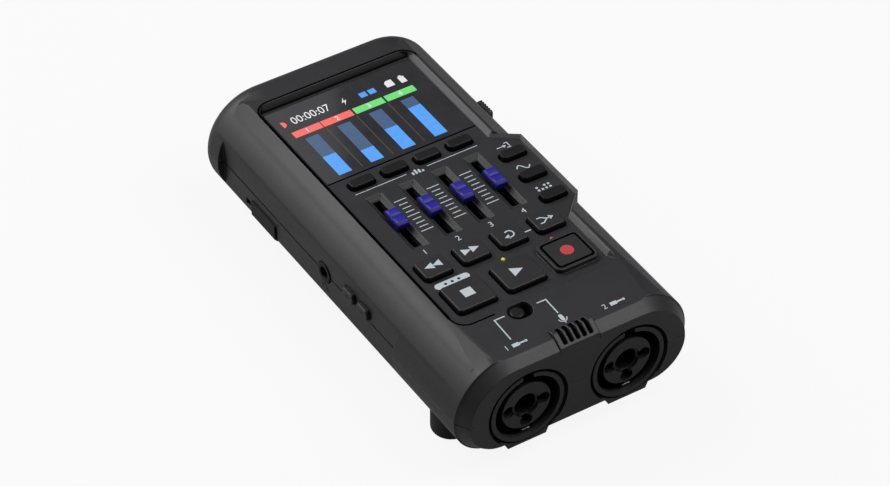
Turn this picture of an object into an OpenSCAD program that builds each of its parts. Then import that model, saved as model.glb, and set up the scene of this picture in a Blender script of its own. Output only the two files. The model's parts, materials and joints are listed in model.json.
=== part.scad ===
// Handheld four-track recorder: a moulded two-part case with a sunken control panel, four short
// faders, sprung keys, a small display, two combination input jacks and a pair of round cells.
// Millimetres. X is right, Y is to the rear, Z is up; the feet stand on z = 0.

/* [Case] */
// Width of the case at its widest line
case_w = 71.2; // [70.8:0.1:72]
// Length of the case from its front face to its rear
case_l = 134; // [133:0.5:137]
// Radius of the upper shoulders
shoulder_r = 16.8; // [16.5:0.1:17.4]
// Radius of the lower edges
belly_r = 13; // [12.8:0.1:13.6]
// Height of the underside above the table
foot_h = 4.9; // [4:0.1:6]
// Radius of the rounding all round the rear end
rear_r = 5.9; // [5.4:0.1:6.6]
// Wall of the case
wall = 1.8; // [1.6:0.1:2]
// Depth of the sloping band round the front face
band_d = 3.8; // [3.4:0.1:4.2]
// How far that band draws in
band_in = 2.6; // [2.2:0.1:2.8]
// Step at the rear edge of the band
band_step = 0.35; // [0.2:0.05:0.5]
// Depth of the flat on each side
flat_d = 2; // [1.8:0.1:2.2]
// Front end of the side flats
flat_front = -33.5; // [-36:0.5:-30]
// Rear end of the side flats
flat_rear = 57; // [55:0.5:58]
// Height of the parting line above the widest line
part_up = 0.6; // [0.3:0.1:1]
// Gap at the parting line
part_gap = 0.2; // [0.1:0.05:0.3]

/* [Panel] */
// Depth of the panel floor below the crest
panel_drop = 1.7; // [1.5:0.1:1.9]
// Thickness of the panel
panel_t = 1.8; // [1.7:0.1:2]
// Width of the panel floor
panel_w = 47; // [46.8:0.1:47.6]
// Outward slope of the panel's walls
panel_slope = 1; // [0.6:0.1:1.3]
// Width of the flat on top of each side rail
rail_w = 0.8; // [0.5:0.1:1.2]
// Floor left behind the display glass
panel_back = 1.1; // [0.8:0.1:1.6]
// Radius of the panel's rear corners
panel_r = 4; // [3:0.5:5]
// Front end of the sunken panel
recess_front = -48.2; // [-49:0.1:-47.8]
// Where the panel floor starts to rise at the front
ramp_y = -43.6; // [-44:0.1:-43.4]
// Length over which the floor would rise to the crest
ramp_l = 6; // [5.4:0.1:7]
// How far the top runs down towards the front edge
front_drop = 0.7; // [0.5:0.1:0.9]
// Length over which the rails die away in front of the panel
fade_l = 15; // [13:0.5:16]

/* [Key shelf] */
// Right edge of the shelf that carries the menu keys
shelf_x = 30.4; // [30.2:0.1:30.8]
// Front end of that edge
shelf_front = -19.2; // [-20:0.1:-18]
// Rear end of that edge
shelf_rear = 7.7; // [7.2:0.1:9]
// Width of the rim round the shelf
shelf_rim = 0.6; // [0.5:0.1:0.9]
// Height of that rim over the shelf
shelf_lip = 1.1; // [0.8:0.1:1.3]
// Outward slope of that rim's inner side
shelf_run = 0.45; // [0.3:0.05:0.5]
// Wall left between the room under the shelf and the outside
shelf_wall_t = 0.55; // [0.5:0.05:0.7]

/* [Display] */
// Width of the display glass
glass_w = 46.4; // [45:0.1:46.6]
// Length of the display glass
glass_l = 34.2; // [33:0.1:34.6]
// Thickness of the display glass
glass_t = 1; // [0.8:0.1:1.1]
// Front edge of the display glass
glass_front = 18.9; // [18.7:0.1:19.2]
// Ledge that carries the glass
glass_ledge = 1.9; // [1.5:0.1:2.4]
// Thickness of the display module
lcd_t = 2.8; // [2:0.1:3.4]

/* [Faders] */
// Spacing of the faders
fader_pitch = 10.2; // [10:0.1:10.4]
// Middle of the faders' slots
fader_y = -3.25; // [-3.6:0.05:-3]
// Travel of a fader
fader_travel = 15; // [13:0.5:15.5]
// Width of the trough round a slot
dish_w = 5; // [4.6:0.1:5.2]
// Depth of that trough
dish_d = 1; // [0.7:0.1:1.1]
// Slope of the trough's sides
dish_slope = 1; // [0.7:0.1:1]
// Width of a slot
slot_w = 2.3; // [1.9:0.1:2.6]
// Length of a fader cap
cap_l = 7.6; // [7:0.1:8]
// Width of a fader cap at its foot
cap_w = 3.8; // [3.4:0.1:3.8]
// Height of a fader cap
cap_h = 2.1; // [1.8:0.1:2.4]
// Thickness of a fader lever
lever_t = 1; // [0.8:0.1:1.2]
// Length of a fader lever along its travel
lever_l = 3; // [2.5:0.1:3.4]

/* [Keys] */
// Gap round each key
key_gap = 0.25; // [0.2:0.05:0.3]
// Travel of a key
key_travel = 0.5; // [0.3:0.05:0.6]
// Width of the flange that holds a key under the panel
key_flange = 0.9; // [0.6:0.1:1]
// Width of a track or menu key
small_w = 7.2; // [6.6:0.1:7.4]
// Length of a track or menu key
small_l = 3.1; // [2.8:0.1:3.4]
// Height of a track or menu key over the panel
small_h = 1.4; // [1:0.1:1.6]
// Width of a key in the middle row
mid_w = 8; // [7.5:0.1:8.4]
// Length of a key in the middle row
mid_l = 6.9; // [6.5:0.1:7.2]
// Width of a key in the transport row
big_w = 11.4; // [11:0.1:11.8]
// Length of a key in the transport row
big_l = 10.2; // [9.8:0.1:10.4]
// Height of the middle and transport keys over the panel
big_h = 1.5; // [1.2:0.1:1.8]
// Spacing of the keys in the middle row
mid_pitch = 11.65; // [11.6:0.05:12]
// Spacing of the keys in the transport row
big_pitch = 15.2; // [15:0.1:15.4]
// Spacing of the menu keys
menu_pitch = 9.84; // [9.6:0.02:10]
// Width of the collar round the record key
collar_w = 0.8; // [0.6:0.1:1]
// Height of a switch under a key
switch_h = 1.4; // [1:0.1:1.6]

/* [Inputs] */
// Spacing of the two input jacks
jack_pitch = 31; // [30.6:0.1:31.6]
// Height of the jacks' axes above the widest line
jack_up = -0.6; // [-0.8:0.1:-0.4]
// Outer radius of a jack's ring
ring_r = 11.1; // [11:0.1:11.2]
// Gap round the ring in the case
ring_gap = 0.6; // [0.4:0.05:0.65]
// Radius of the round socket in the ring
socket_r = 9.8; // [9.6:0.1:10]
// Depth of the socket
socket_d = 15; // [14:0.5:15.5]
// Radius of the insert in the socket
insert_r = 7.3; // [7.1:0.1:7.6]
// Depth of the insert's face behind the ring's
insert_back = 1; // [0.6:0.1:1.6]
// Radius of the plug hole in the insert
plug_r = 3.2; // [3.18:0.01:3.25]
// Radius of each pin hole in the insert
pin_r = 1.5; // [1.3:0.1:1.6]
// Radius of the circle of pin holes
pin_circle = 5.2; // [5.1:0.1:5.4]
// Radius of the headphone plug hole
phone_r = 1.8; // [1.78:0.01:1.85]
// Width of the microphone grille
grille_w = 12; // [11:0.2:13]
// Number of slots in the microphone grille
grille_slots = 5; // [3:1:5]

/* [Cells and feet] */
// Diameter of a cell
cell_d = 14.2; // [13.9:0.1:14.4]
// Length of a cell
cell_l = 50.2; // [49.8:0.1:50.5]
// Thickness of the cell door
door_t = 1.6; // [1.4:0.1:1.7]
// Radius of a foot
foot_r = 5.5; // [4.5:0.1:6]

/* [Hidden] */
$fn = 48;

// Running clearance between pieces that rest on each other
seat = 0.1;
// Clearance of a cover or door in its opening
fit = 0.25;
// Reach of a cutter past what it cuts
over = 2;

// Heights of the case
mid_z = foot_h + belly_r;
crest_z = mid_z + shoulder_r;
floor_z = crest_z - panel_drop;
under_z = floor_z - panel_t;
part_z = mid_z + part_up;
front_y = -case_l / 2;
rear_y = case_l / 2;
flat_x = case_w / 2 - flat_d;
inner_x = flat_x - wall;
inner_bottom = foot_h + wall;

// Display and the rear edge of the panel floor
glass_y = glass_front + glass_l / 2;
panel_rear = glass_front + glass_l + panel_back;
lcd_edge = 0.3;

// Rails: the top edge beside the panel, and where its flank meets the shoulder
shoulder_x = case_w / 2 - shoulder_r;
rail_in = panel_w / 2 + panel_slope;
rail_x = rail_in + rail_w;
rail_reach = norm([rail_x - shoulder_x, shoulder_r]);
rail_turn = atan2(shoulder_r, rail_x - shoulder_x) - acos(shoulder_r / rail_reach) - 6;
rail_foot = [shoulder_x + shoulder_r * cos(rail_turn), mid_z + shoulder_r * sin(rail_turn)];
// Rounding of the rails' rear ends, lifted so that it meets the crest at a slight angle
rail_end_r = 12;
rail_end_lift = 0.2;
// Plane that takes the rails away in front of the panel: its lean outwards and its fall to the front
rail_lean = (90 - rail_turn) / 2;
rail_fall = atan((rail_reach - shoulder_r) / fade_l);

// Boards
board_t = 1.6;
jack_reach = 33.5;
key_board_t = 1.2;
board_z = mid_z + 4.1;
key_room = 4.2;
keys_z = under_z - key_room;
board_half = inner_x - 2.2;
board_front = front_y + jack_reach + 2;
board_rear = rear_y - wall - 4;
key_board_half = 22.3;
key_board_front = -47;
key_board_rear = 17;

// Keys: places of each row, and the levels of a key's flange and stem
track_y = 14.5;
menu_x = 25.05;
menu_y = -6.84;
mid_y = -24.65;
big_y = -38;
key_corner = 1;
flange_t = 1;
flange_gap = 0.2;
stem_r = 1.2;
switch_w = 3.4;
press_gap = 0.3;
light_y = -30.85;
light_r = 0.55;
light_head_r = 0.85;
record_w = big_w - 0.4;
record_l = big_l - 0.4;

// Faders
dish_l = fader_travel + cap_l + 1.6;
slot_l = fader_travel + lever_l + 3;
pot_w = 8.2;
pot_l = slot_l + 5;
pot_h = key_room - flange_gap;
cap_z = floor_z + 0.15;
cap_foot_w = 2.2;
cap_foot_l = 6.2;

// Source switch
source_x = -7.8;
source_y = -50.8;
source_w = 7;
source_l = 5.8;
source_travel = 1.8;
source_knob_r = 2;
source_stem_r = 0.9;
source_top_z = crest_z - 0.3;
source_body_h = 2.6;

// Input jacks
jack_z = mid_z + jack_up;
ring_back = 4;
ring_sink = 0.3;
flange_y = front_y + wall + seat;
flange_d = 2;
barrel_r = socket_r + 0.6;
barrel_y = front_y + socket_d + 2;
tail_r = 6.2;
tail_y = front_y + jack_reach;
ridge_up = 0.2;
ridge_w = 11.6;
ridge_slope = 2;

// Headphone jack, volume keys, power switch, data port and card slot
phone_y = 3.6;
phone_collar_r = 3;
volume_y = [-9.7, -16.9];
volume_w = 5.2;
volume_h = 3.3;
volume_z = part_z + 2.2;
volume_out = 1.2;
power_y = rear_y - 36;
power_w = 6.2;
power_h = 4.6;
power_z = board_z + board_t + 0.5;
power_travel = 2;
power_out = 1.3;
neck_w = 3;
neck_h = 1.6;
usb_y = 6;
usb_w = 9;
usb_h = 3.2;
usb_skin = 0.35;
usb_z = board_z - seat - usb_h / 2;
card_y = rear_y - 31.6;
card_w = 12.4;
card_low = mid_z - 7.9;
card_high = mid_z - 2.3;
card_out = 0.6;
card_edge_r = 0.7;
card_reach = 14;
card_slot_z = mid_z - 5;

// Cells, door, feet and screws
cell_x = cell_d / 2 + 0.35;
cell_y = tail_y + 4.9 + (cell_l + 3.4) / 2;
cell_z = inner_bottom + 0.4 + cell_d / 2;
bay_w = 2 * cell_x + cell_d + 0.6;
bay_l = cell_l + 3.4;
rib_t = 1.2;
contact_t = 0.4;
contact_w = 9;
contact_h = 10;
tongue_x = bay_w / 2 - 1.7;
tongue_w = 3;
tongue_l = 1.1;
tongue_t = 0.9;
front_foot = [case_w / 2 - 9.2, front_y + 19.6];
rear_foot = [22, rear_y - 21];
foot_round = 1.2;
screw_r = 1.25;
screw_head_r = 2.2;
screw_head_t = 1.6;
screw_l = part_z - foot_h + 3;
post_r = 2.6;
rear_screw = [case_w / 2 - 9.3, rear_y - 10];
screw_spots = [[0, -49.5], [-25.5, -37], [25.5, -37], [-rear_screw[0], rear_screw[1]], rear_screw];
post_x = inner_x - 3.6;
board_posts = [for (x = [-post_x, post_x], y = [board_front + 3.5, rear_y - 20]) [x, y]];
key_board_pins = [[-20, -45.6], [20, -45.6], [-21, 10.6], [21, 10.6]];

// Grille over the sloping band: its edge points, and the frame its slots are cut in
band_turn = atan2(band_in - band_step, band_d);
grille_t = 1.6;
grille_proud = 0.45;
grille_top = 2;
grille_low = 1.4;
grille_bar = 0.75;
grille_slot_l = 4.8;
grille_slot_up = 1.3;
band_y = front_y + band_d / 2;
band_z = crest_z - (band_in + band_step) / 2;
capsule_r = 2.9;
capsule_h = 2.4;
capsule_back = 1.1;

function fader_x(i) = (i - 2.5) * fader_pitch;

// Half section of the case as radius against Y, from the front face with its sloping band
function bar_profile(r, t) = [
    [0, front_y + t], [r - t - band_in, front_y + t],
    [r - t - band_step, front_y + t + band_d], [r - t, front_y + t + band_d],
    [r - t, rear_y - rear_r], [0, rear_y - rear_r]
];

// Outline of the key shelf grown by g, running in to x_in
function shelf_outline(g, x_in) = let(
    x = shelf_x + g,
    y0 = shelf_front - (sqrt(2) - 1) * g,
    y1 = shelf_rear + (norm([0.7, 1]) - 0.7) * g
) [[x_in, y0 - (x - x_in)], [x, y0], [x, y1], [x_in, y1 + 0.7 * (x - x_in)]];

// Plate with rounded corners, centred, standing on z = 0
module plate(w, l, h, r) {
    linear_extrude(h) plate_outline(w, l, r);
}

module plate_outline(w, l, r) {
    square([w - 2 * r, l], center = true);
    square([w, l - 2 * r], center = true);
    for (x = [-1, 1], y = [-1, 1])
        translate([x * (w / 2 - r), y * (l / 2 - r)]) circle(r);
}

// Box from its lowest corner to its highest
module block(low, high) {
    translate(low) cube(high - low);
}

// Extrudes an outline drawn in Y and Z along X, centred
module along_x(w) {
    rotate([90, 0, 90]) translate([0, 0, -w / 2]) linear_extrude(w) children();
}

// Extrudes an outline drawn in X and Z along Y, from y0 to y1
module along_y(y0, y1) {
    translate([0, y1, 0]) rotate([90, 0, 0]) linear_extrude(y1 - y0) children();
}

// Half section of the case with its rounded rear edge
module bar_section(r, t) {
    polygon(bar_profile(r, t));
    translate([0, rear_y - rear_r]) square([r - rear_r, rear_r - t]);
    translate([r - rear_r, rear_y - rear_r]) intersection() {
        circle(rear_r - t);
        square(rear_r + over);
    }
}

// Upper or lower half of the case form on z = 0, inset by t: a quarter bar each side of a prism
module half_form(r, t) {
    reach = case_w / 2 - r;
    for (s = [0, 1]) mirror([s, 0, 0])
        translate([reach, 0, 0]) rotate([90, 0, 0]) rotate_extrude(angle = 90)
            mirror([0, 1, 0]) bar_section(r, t);
    along_x(2 * reach) mirror([1, -1, 0]) bar_section(r, t);
}

// Outer form of the case, inset by t
module case_form(t = 0) {
    translate([0, 0, mid_z]) {
        half_form(shoulder_r, t);
        mirror([0, 0, 1]) half_form(belly_r, t);
    }
}

// Raised rails beside the panel, and the shelf for the menu keys
module rails_and_shelf() {
    difference() {
        for (s = [-1, 1]) intersection() {
            along_y(ramp_y - fade_l - over, rear_y) polygon([
                [s * shoulder_x, floor_z - over], [s * shoulder_x, crest_z], [s * rail_x, crest_z],
                [s * rail_foot[0], rail_foot[1]], [s * (rail_foot[0] - over), rail_foot[1] - over]
            ]);
            translate([0, 0, mid_z]) along_x(2 * case_w) rail_length();
            translate([s * shoulder_x, 0, mid_z]) rotate([0, s * (90 - rail_turn), 0])
                along_x(2 * case_w) rail_length();
        }
        for (s = [-1, 1])
            translate([s * rail_x, ramp_y, crest_z]) rotate([0, s * rail_lean, 0]) rotate([rail_fall, 0, 0])
                block([-8, -2 * fade_l, 0], [8, 0, 2 * over]);
    }
    translate([0, 0, mid_z + shoulder_r / 2])
        linear_extrude(floor_z + shelf_lip - mid_z - shoulder_r / 2)
            polygon(shelf_outline(shelf_rim, shoulder_x));
}

// A rail's side view above the shoulder's axis, with its rounded rear end
module rail_length() {
    end_y = rear_y - rail_end_r;
    end_z = shoulder_r - rail_end_r + rail_end_lift;
    translate([front_y, 0]) square([end_y - front_y, shoulder_r + over]);
    translate([end_y, 0]) square([rail_end_r, end_z]);
    translate([end_y, end_z]) intersection() {
        circle(rail_end_r);
        square(rail_end_r);
    }
}

// Sunken panel: sloping walls and a floor that rises at its front end, the top's fall to the front
// edge, and the shelf for the menu keys
module panel_recess() {
    top = crest_z + over;
    lift = (top - floor_z) / panel_drop * panel_slope;
    ramp = (top - floor_z) / panel_drop * ramp_l;
    plan_l = panel_rear + panel_slope - recess_front;
    intersection() {
        along_y(front_y, rear_y) polygon([
            [-panel_w / 2, floor_z], [panel_w / 2, floor_z],
            [panel_w / 2 + lift, top], [-panel_w / 2 - lift, top]
        ]);
        along_x(case_w) polygon([
            [ramp_y, floor_z], [panel_rear, floor_z], [panel_rear + lift, top], [ramp_y - ramp, top]
        ]);
        translate([0, recess_front + plan_l / 2, floor_z - over])
            plate(2 * rail_in, plan_l, 3 * over + panel_drop, panel_r);
    }
    along_x(2 * case_w) polygon([
        [ramp_y, crest_z], [front_y + band_d, crest_z - front_drop],
        [front_y - over, crest_z - front_drop], [front_y - over, top], [ramp_y, top]
    ]);
    shelf_recess();
}

// Room on the shelf, between three leaning walls
module shelf_recess() {
    translate([shelf_x, 0, floor_z]) intersection() {
        rotate([0, 0, 90]) shelf_wall(shelf_x - rail_in + 2);
        translate([0, shelf_front, 0]) rotate([0, 0, 45]) shelf_wall(case_w);
        translate([0, shelf_rear, 0]) rotate([0, 0, 90 + atan(1 / 0.7)]) shelf_wall(case_w);
    }
}

// Block on z = 0 whose outer side, at y = 0, leans out
module shelf_wall(depth) {
    rise = shelf_lip + over;
    run = shelf_run * rise / shelf_lip;
    along_x(2 * case_w) polygon([[0, 0], [depth, 0], [depth, rise], [-run, rise]]);
}

// Room inside the case
module cavity() {
    intersection() {
        case_form(wall);
        block([-inner_x, front_y, 0], [inner_x, rear_y, under_z]);
    }
    intersection() {
        block([shoulder_x, shelf_front - 3, board_z + over], [shelf_x - 0.5, shelf_rear + 0.6, under_z]);
        linear_extrude(crest_z) polygon(shelf_outline(shelf_rim - shelf_wall_t, 0));
    }
}

// Openings that both halves of the case share
module shared_cuts() {
    for (s = [-1, 1]) {
        translate([s * jack_pitch / 2, front_y - over, jack_z]) rotate([-90, 0, 0])
            cylinder(r = ring_r + ring_gap, h = over + band_d + wall + seat);
        block([min(s * flat_x, s * case_w), flat_front, foot_h],
              [max(s * flat_x, s * case_w), flat_rear, crest_z]);
    }
    translate([-case_w / 2, phone_y, part_z]) rotate([0, 90, 0])
        cylinder(r = phone_collar_r + fit, h = case_w / 2 - inner_x + over);
    translate([inner_x - over, usb_y, usb_z]) rotate([90, 0, 90])
        plate(usb_w + 2 * fit, usb_h + 2 * fit, 2 * over + wall, usb_h / 2 + fit - 0.01);
}

// Posts for the case screws between two heights
module screw_posts(z0, z1) {
    for (p = screw_spots) translate([p[0], p[1], z0]) cylinder(r = post_r, h = z1 - z0);
}

module screw_holes(r, z0, z1) {
    for (p = screw_spots) translate([p[0], p[1], z0]) cylinder(r = r, h = z1 - z0);
}

module upper_case() {
    color("#2f2f32") difference() {
        union() {
            difference() {
                union() {
                    case_form();
                    rails_and_shelf();
                }
                cavity();
                panel_recess();
            }
            intersection() {
                screw_posts(part_z, under_z + seat);
                case_form(wall / 2);
            }
            for (p = key_board_pins)
                translate([p[0], p[1], keys_z + seat]) cylinder(r = 1.2, h = key_room);
            translate([big_pitch, big_y, under_z])
                plate(record_w + 2 * (key_gap + collar_w), record_l + 2 * (key_gap + collar_w),
                      panel_t + big_h, key_corner + key_gap + collar_w);
        }
        block([-case_w, -case_l, 0], [case_w, case_l, part_z + part_gap / 2]);
        shared_cuts();
        screw_holes(screw_r + seat, part_z - over, part_z + 5);
        panel_openings();
        side_openings();
        grille_pocket();
    }
}

// Openings in the panel for the glass, the faders, the keys, the lights and the source switch
module panel_openings() {
    translate([0, glass_y, floor_z - glass_t - seat / 2])
        plate(glass_w + 2 * seat, glass_l + 2 * seat, over + panel_drop, 0.6);
    translate([0, glass_y, under_z - over])
        plate(glass_w - 2 * glass_ledge, glass_l - 2 * glass_ledge, panel_t + over, 0.6);
    for (i = [1:4]) {
        translate([fader_x(i), fader_y, floor_z]) trough();
        translate([fader_x(i), fader_y, under_z - over]) plate(slot_w, slot_l, panel_t + over, 0.5);
        translate([fader_x(i), track_y, 0]) key_hole(small_w, small_l);
    }
    for (i = [-1:1]) translate([menu_x, menu_y + i * menu_pitch, 0]) key_hole(small_w, small_l);
    for (i = [0:3]) translate([(i - 1.5) * mid_pitch, mid_y, 0]) key_hole(mid_w, mid_l);
    for (i = [-1, 0]) translate([i * big_pitch, big_y, 0]) key_hole(big_w, big_l);
    translate([big_pitch, big_y, 0]) key_hole(record_w, record_l);
    for (x = [0, big_pitch]) translate([x, light_y, under_z - over])
        cylinder(r = light_r + seat, h = panel_t + 2 * over);
    translate([source_x, source_y, under_z - over])
        plate(source_w, source_l, panel_t + 2 * over, source_l / 2 - 0.01);
}

// Sloping trough round a fader's slot, below z = 0
module trough() {
    spread = dish_slope * (1 + over / dish_d);
    half_w = dish_w / 2 - dish_slope;
    half_l = dish_l / 2 - dish_slope;
    intersection() {
        along_x(2 * dish_w) polygon([
            [-half_l, -dish_d], [half_l, -dish_d], [half_l + spread, over], [-half_l - spread, over]
        ]);
        along_y(-dish_l, dish_l) polygon([
            [-half_w, -dish_d], [half_w, -dish_d], [half_w + spread, over], [-half_w - spread, over]
        ]);
    }
}

module key_hole(w, l) {
    translate([0, 0, under_z - over])
        plate(w + 2 * key_gap, l + 2 * key_gap, panel_t + 2 * over + big_h, key_corner + key_gap);
}

// Openings in the upper half's sides for the volume keys and the power knob
module side_openings() {
    for (y = volume_y) translate([-case_w / 2, y, volume_z]) rotate([90, 0, 90])
        plate(volume_w + 2 * fit, volume_h + 2 * fit, case_w / 2 - inner_x + over, key_corner);
    translate([inner_x - over, power_y, power_z]) rotate([90, 0, 90])
        plate(neck_w + 2 * power_travel + 2 * fit, neck_h + 2 * fit, 3 * over + wall, 0.4);
}

module on_band() {
    translate([0, band_y, band_z]) rotate([band_turn, 0, 0]) children();
}

// Side profile of the grille in Y and Z, from the panel over the band and down the front face
module grille_outline(gap) {
    lift = grille_proud / cos(band_turn);
    polygon([
        [front_y + band_d + grille_top + gap, crest_z - front_drop - grille_t - gap],
        [front_y + band_d + grille_top + gap, crest_z - front_drop + grille_proud + over * gap],
        [front_y + band_d, crest_z - band_step + lift + over * gap],
        [front_y - over * gap, crest_z - band_in + lift],
        [front_y - over * gap, crest_z - band_in - grille_low - gap],
        [front_y + grille_t + gap, crest_z - band_in - grille_low - gap],
        [front_y + grille_t + gap, crest_z - band_in - grille_t / 2],
        [front_y + band_d, crest_z - front_drop - grille_t - gap]
    ]);
}

module grille_pocket() {
    along_x(grille_w + 2 * seat) grille_outline(seat);
    on_band() translate([0, 0, -grille_t - 3 * over]) cylinder(r = capsule_r + fit, h = 3 * over);
}

module lower_case() {
    color("#2b2b2e") difference() {
        union() {
            difference() {
                case_form();
                cavity();
            }
            jack_ridges();
            intersection() {
                union() {
                    screw_posts(foot_h, part_z);
                    for (p = board_posts)
                        translate([p[0], p[1], foot_h]) cylinder(r = 1.6, h = board_z - foot_h - seat);
                    cell_ribs();
                    block([-inner_x + 1.5, card_y - card_w / 2, foot_h],
                          [-inner_x + card_reach, card_y - card_w / 2 + rib_t, card_slot_z - seat]);
                    block([-inner_x + 1.5, card_y + card_w / 2 - rib_t, foot_h],
                          [-inner_x + card_reach, card_y + card_w / 2, card_slot_z - seat]);
                }
                case_form(wall / 2);
            }
        }
        intersection() {
            block([-case_w, -case_l, part_z - part_gap / 2], [case_w, case_l, crest_z + over]);
            screw_cut_keep();
        }
        shared_cuts();
        screw_holes(screw_r + seat, 0, part_z + over);
        screw_holes(screw_head_r + seat, 0, foot_h + screw_head_t + 1.4);
        translate([0, cell_y, foot_h - over])
            plate(bay_w + 2 * fit, bay_l + 2 * fit, wall + over + 0.01, door_t / 2 + fit);
        card_opening(fit);
        block([-case_w / 2, card_y + card_w / 2, mid_z - 5.5],
              [-flat_x + 0.9, card_y + card_w / 2 + 3.6, mid_z - 3.4]);
    }
}

// Everything above the parting line except the posts that carry the main board
module screw_cut_keep() {
    difference() {
        block([-case_w, -case_l, 0], [case_w, case_l, crest_z + 2 * over]);
        for (p = board_posts) translate([p[0], p[1], 0]) cylinder(r = 1.6, h = board_z - seat);
        cell_ribs();
    }
}

// Ribs beside the cells
module cell_ribs() {
    for (s = [-1, 1])
        translate([s * (bay_w / 2 + fit + rib_t / 2), cell_y, foot_h + (cell_z - foot_h + 3) / 2])
            cube([rib_t, bay_l - 4, cell_z - foot_h + 3], center = true);
    block([-6, cell_y - bay_l / 2 - fit - rib_t, foot_h], [6, cell_y - bay_l / 2 - fit, cell_z + 1]);
    block([-bay_w / 2 + 1, cell_y + bay_l / 2 + fit, foot_h],
          [bay_w / 2 - 1, cell_y + bay_l / 2 + fit + rib_t, cell_z + 1]);
}

// Ridges under the input jacks, where the rings reach lower than the front face
module jack_ridges() {
    low = foot_h + ridge_up;
    top = jack_z - ring_r + 3;
    spread = ridge_slope * (top - low) / belly_r * 2.6;
    for (s = [-1, 1]) translate([s * jack_pitch / 2, 0, 0])
        along_y(front_y + 0.4, front_y + band_d + wall) polygon([
            [-ridge_w / 2, low], [ridge_w / 2, low], [ridge_w / 2 + spread, top], [-ridge_w / 2 - spread, top]
        ]);
}

module card_opening(gap) {
    block([-case_w / 2 - over, card_y - card_w / 2 - gap, card_low - gap],
          [-inner_x + over, card_y + card_w / 2 + gap, card_high + gap]);
}

// Cell door: its front edge is rounded about the hinge line, and two tongues hook behind the floor
module battery_door() {
    round_r = door_t / 2;
    front = cell_y - bay_l / 2;
    tongue_top = inner_bottom + fit + tongue_t;
    color("#29292c") difference() {
        union() {
            translate([0, cell_y + round_r / 2, foot_h]) plate(bay_w, bay_l - round_r, door_t, round_r);
            translate([-bay_w / 2 + round_r, front + round_r, foot_h + round_r]) rotate([0, 90, 0])
                cylinder(r = round_r, h = bay_w - 2 * round_r);
            for (x = [-tongue_x, tongue_x]) {
                block([x - tongue_w / 2, front + round_r, foot_h + round_r],
                      [x + tongue_w / 2, front + round_r + tongue_t, tongue_top]);
                block([x - tongue_w / 2, front - tongue_l, inner_bottom + fit],
                      [x + tongue_w / 2, front + round_r + tongue_t, tongue_top]);
            }
        }
        translate([0, cell_y + bay_l / 2 - 5, foot_h - 0.01]) plate(bay_w / 2, 4, 0.6, 1.9);
    }
}

// Card cover: a plate that follows the case, with a round lower edge on the hinge line
module card_cover() {
    color("#1c1c1e") {
        intersection() {
            case_form(-0.45);
            block([-flat_x - card_out, card_y - card_w / 2, card_low + card_edge_r],
                  [-inner_x - 0.4, card_y + card_w / 2, card_high]);
        }
        translate([-flat_x + 0.6, card_y - card_w / 2, card_low + card_edge_r]) rotate([-90, 0, 0])
            cylinder(r = card_edge_r, h = card_w);
    }
}

module display_lens() {
    color("#101216") translate([0, glass_y, floor_z - glass_t]) plate(glass_w, glass_l, glass_t, 0.5);
}

module lcd_module() {
    color("#3c3f44") translate([0, glass_y, under_z - flange_gap - lcd_t])
        plate(glass_w + 2 * lcd_edge, glass_l + 2 * lcd_edge, lcd_t, 0.6);
}

module main_board() {
    color("#1e5a32") difference() {
        block([-board_half, board_front, board_z], [board_half, board_rear, board_z + board_t]);
        screw_holes(post_r + 0.4, 0, crest_z);
    }
}

module key_board() {
    color("#1e5a32") difference() {
        union() {
            block([-key_board_half, key_board_front, keys_z - key_board_t],
                  [key_board_half, key_board_rear, keys_z]);
            intersection() {
                block([0, shelf_front - 2, keys_z - key_board_t], [shelf_x - 1.4, shelf_rear, keys_z]);
                linear_extrude(crest_z) polygon(shelf_outline(shelf_rim - shelf_wall_t - 0.4, 0));
            }
        }
        screw_holes(post_r + 0.4, 0, crest_z);
    }
}

module key_switch() {
    translate([-switch_w / 2, -switch_w / 2, 0]) cube([switch_w, switch_w, switch_h - 0.4]);
    cylinder(r = 0.9, h = switch_h);
}

module key_switches() {
    color("#8a8d90") {
        translate([0, 0, keys_z]) {
            for (i = [1:4]) translate([fader_x(i), track_y, 0]) key_switch();
            for (i = [-1:1]) translate([menu_x, menu_y + i * menu_pitch, 0]) key_switch();
            for (i = [0:3]) translate([(i - 1.5) * mid_pitch, mid_y, 0]) key_switch();
            for (i = [-1:1]) translate([i * big_pitch, big_y, 0]) key_switch();
        }
        for (y = volume_y)
            block([-volume_seat_x() + key_travel + press_gap, y - 1.7, volume_z - 1.5],
                  [-volume_seat_x() + key_travel + press_gap + 2.6, y + 1.7, board_z]);
    }
}

// Inner face of a volume key's flange, as a distance from the middle of the case
function volume_seat_x() = inner_x - flange_gap - flange_t;

module fader_pots() {
    color("#6f7276") for (i = [1:4]) translate([fader_x(i), fader_y, keys_z]) difference() {
        plate(pot_w, pot_l, pot_h, 0.4);
        translate([0, 0, 1.2]) plate(lever_t + 0.8, slot_l, pot_h, 0.5);
    }
}

module fader_lever(i) {
    color("#9a9da0") translate([fader_x(i), fader_y, keys_z + 1.2 + fit])
        translate([-lever_t / 2, -lever_l / 2, 0])
            cube([lever_t, lever_l, cap_z + cap_h / 2 - keys_z - 1.2 - fit]);
}

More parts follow.
